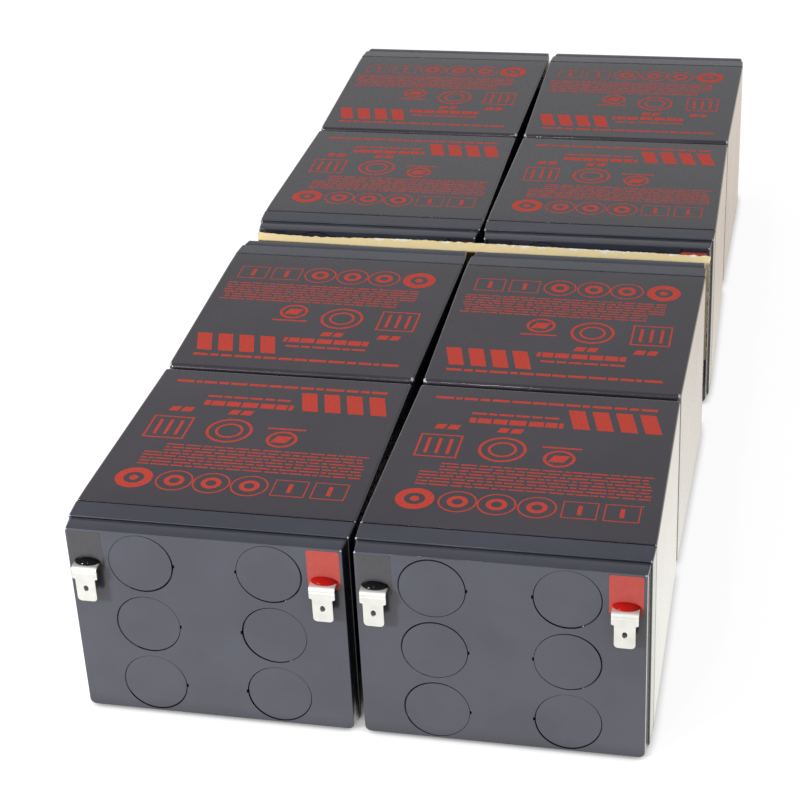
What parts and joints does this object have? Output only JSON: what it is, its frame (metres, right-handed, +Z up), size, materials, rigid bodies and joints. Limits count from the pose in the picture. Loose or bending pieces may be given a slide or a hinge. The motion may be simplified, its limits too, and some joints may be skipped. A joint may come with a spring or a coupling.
{
  "type": "ups battery cartridge",
  "caption": "Cartridge of small sealed lead-acid batteries lying on their sides in two blocks, with bent push-on terminal tabs on the lids.",
  "frame": {"origin": "middle of the cartridge's footprint, on the surface it lies on", "axes": "+Z up, +Y from the front lids towards the rear block, +X to the right seen from the front"},
  "size_m": [0.182, 0.437, 0.07],
  "materials": {
    "jar": "black moulded plastic jar with a dark wrapped label, semi-gloss",
    "lids": "dark grey moulded plastic, finely textured",
    "vent_covers": "dark grey moulded plastic, finely textured",
    "positive_seals": "red casting resin",
    "negative_seals": "dark casting resin",
    "tabs": "bright tin-plated brass",
    "plate_groups": "lead plates in white glass mat",
    "cell_links": "cast lead",
    "foam": "black double-sided foam tape",
    "cover_strip": "cream card, torn along its edges"
  },
  "bodies": {
    "root": {"battery_lids": "lids", "cell_links": "cell_links", "foam_base_pads": "foam", "foam_side_pads": "foam", "jar_row1_left": "jar", "jar_row1_right": "jar", "jar_row2_left": "jar", "jar_row2_right": "jar", "jar_row3_left": "jar", "jar_row3_right": "jar", "jar_row4_left": "jar", "jar_row4_right": "jar", "negative_seals": "negative_seals", "negative_tab_row1_left": "tabs", "negative_tab_row1_right": "tabs", "negative_tab_row2_left": "tabs", "negative_tab_row2_right": "tabs", "negative_tab_row3_left": "tabs", "negative_tab_row3_right": "tabs", "negative_tab_row4_left": "tabs", "negative_tab_row4_right": "tabs", "plates_row1_left": "plate_groups", "plates_row1_right": "plate_groups", "plates_row2_left": "plate_groups", "plates_row2_right": "plate_groups", "plates_row3_left": "plate_groups", "plates_row3_right": "plate_groups", "plates_row4_left": "plate_groups", "plates_row4_right": "plate_groups", "positive_seals": "positive_seals", "positive_tab_row1_left": "tabs", "positive_tab_row1_right": "tabs", "positive_tab_row2_left": "tabs", "positive_tab_row2_right": "tabs", "positive_tab_row3_left": "tabs", "positive_tab_row3_right": "tabs", "positive_tab_row4_left": "tabs", "positive_tab_row4_right": "tabs", "terminal_cover_strip": "cover_strip", "vent_covers": "vent_covers"}
  },
  "joints": []
}
